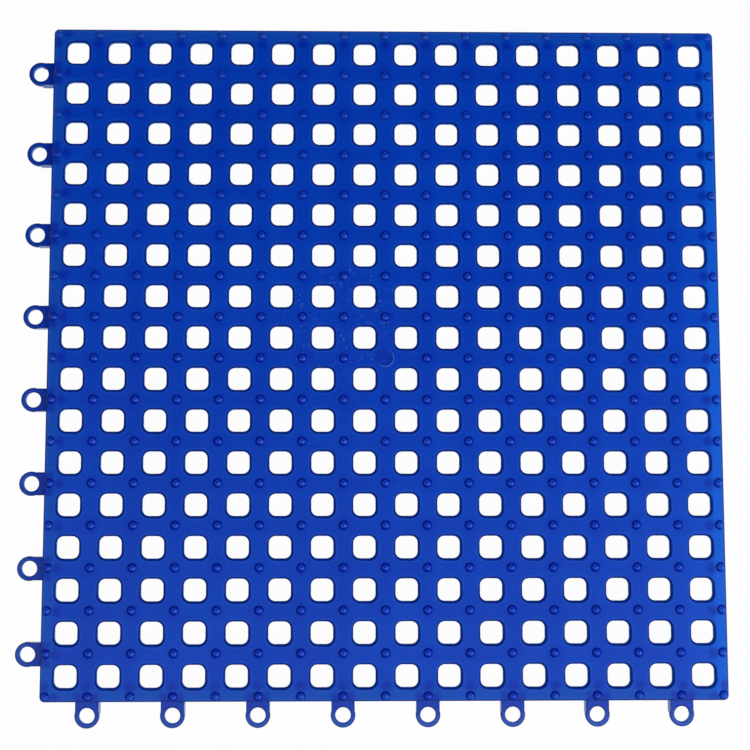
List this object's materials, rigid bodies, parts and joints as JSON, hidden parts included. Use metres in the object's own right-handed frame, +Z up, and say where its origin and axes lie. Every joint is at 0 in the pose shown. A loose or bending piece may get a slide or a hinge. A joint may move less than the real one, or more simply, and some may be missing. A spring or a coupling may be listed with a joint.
{
  "type": "anti-slip floor tile",
  "caption": "Square open-grid floor tile of soft plastic with domed grip studs, short feet, and eyelet tabs on two edges that take the feet of the next tile.",
  "frame": {"origin": "bottom of the centre foot, on the floor, under the middle of the square grid", "axes": "+Z up out of the tread; -X and -Y point out of the two edges that have eyelet tabs"},
  "size_m": [0.3116, 0.3116, 0.012],
  "materials": {
    "blue_pvc": "glossy, slightly translucent soft PVC"
  },
  "bodies": {
    "root": {"floor_tile": "blue_pvc"}
  },
  "joints": []
}
